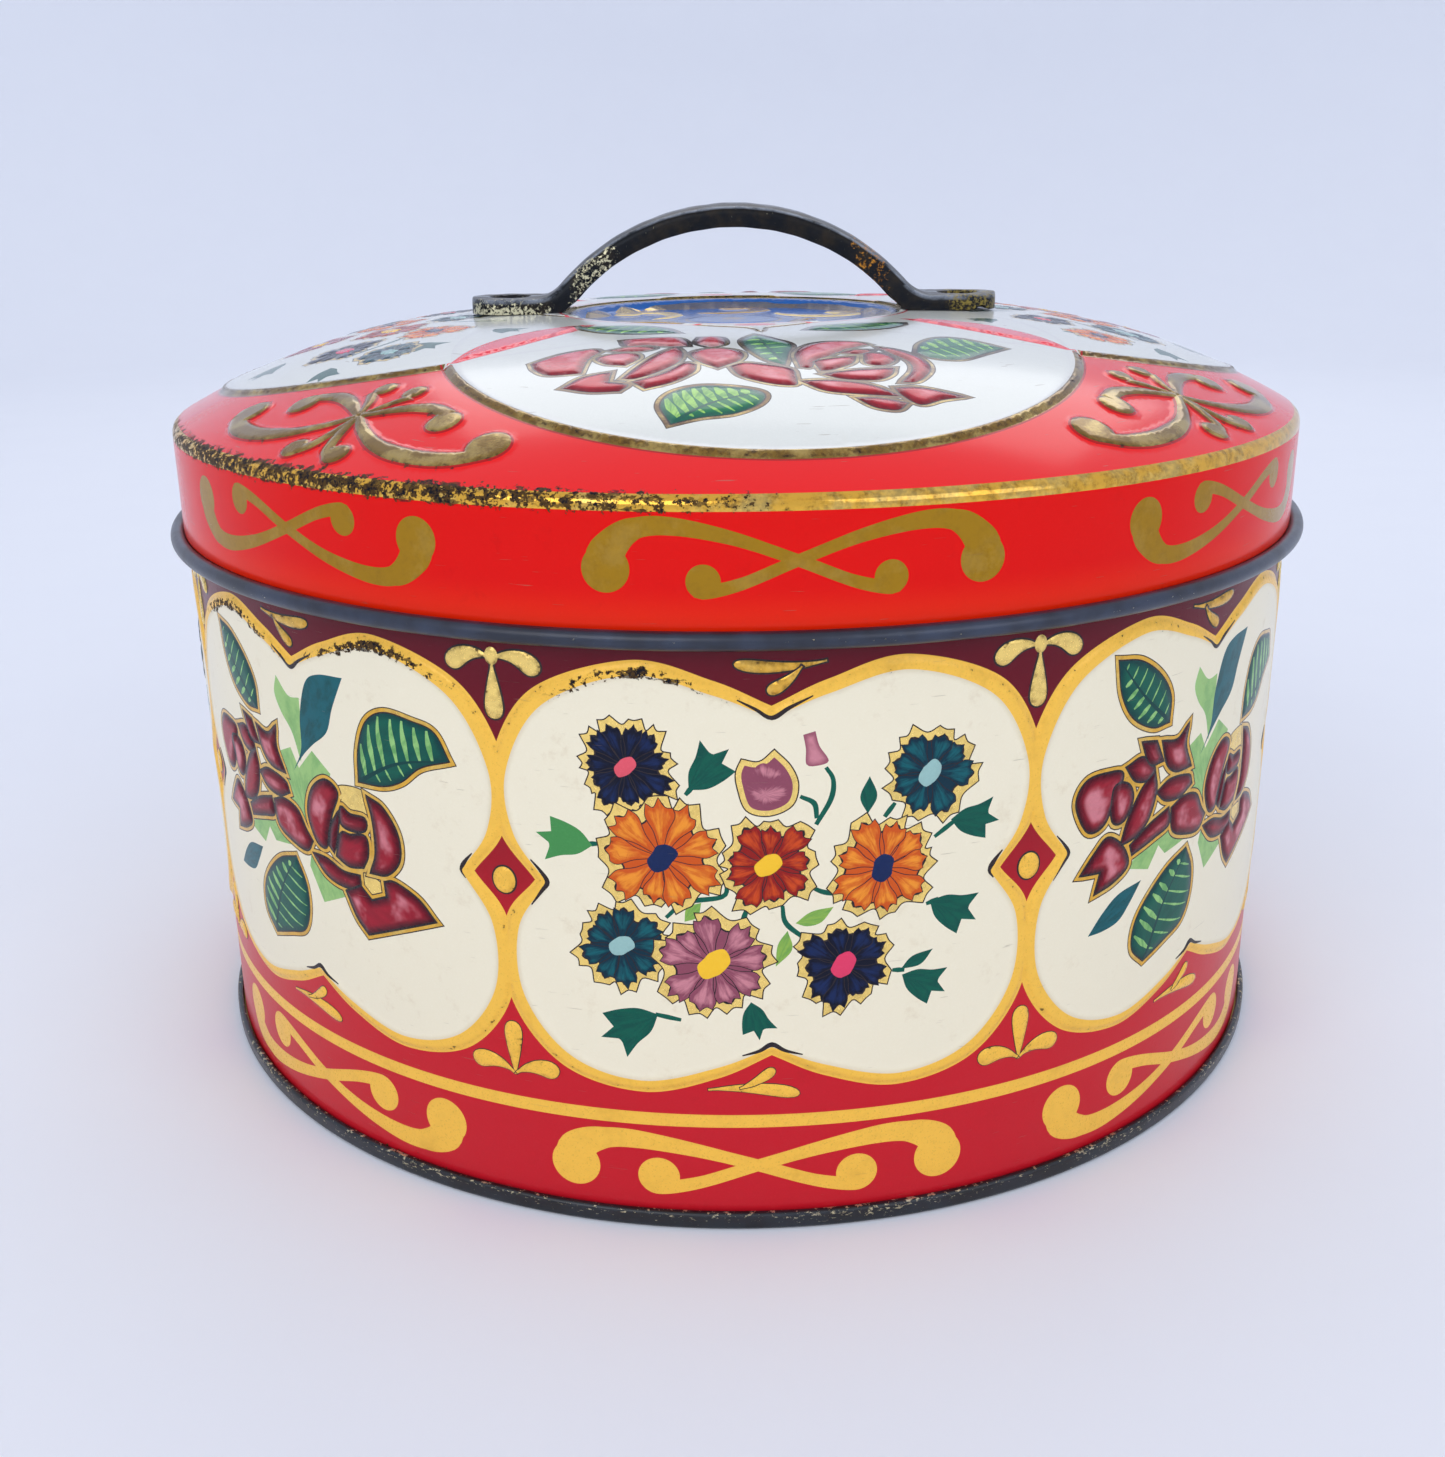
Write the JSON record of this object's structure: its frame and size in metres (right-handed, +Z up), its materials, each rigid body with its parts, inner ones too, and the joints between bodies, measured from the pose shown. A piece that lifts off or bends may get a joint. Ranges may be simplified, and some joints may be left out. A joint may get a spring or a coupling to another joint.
{
  "type": "round slip-lid storage tin",
  "caption": "Round lithographed storage tin: seamed wall and bottom, domed slip lid with a rolled edge, and a fixed arched carrying handle riveted to the lid.",
  "frame": {"origin": "centre of the base, on the plane that the tin stands on", "axes": "+Z up along the tin's axis, +X along the handle, -Y towards the front panel, +Y towards the side seam"},
  "size_m": [0.22, 0.22, 0.1559],
  "materials": {
    "printed_wall": "glossy varnished print, embossed",
    "lacquered_bottom": "dark lacquer, worn along the rim",
    "printed_lid": "glossy varnished print, embossed",
    "lacquered_handle": "dark bronze lacquer worn to bright metal",
    "rivet_steel": "dull tinned steel"
  },
  "bodies": {
    "tin_body": {"body_wall": "printed_wall", "bottom_plate": "lacquered_bottom"},
    "lid": {"lid_shell": "printed_lid", "handle": "lacquered_handle", "handle_rivet_left": "rivet_steel", "handle_rivet_right": "rivet_steel"}
  },
  "joints": [
    {"name": "lid_lift", "type": "slide", "parent": "tin_body", "child": "lid", "axis": [0, 0, 1], "range_m": [0, 0.13]}
  ]
}
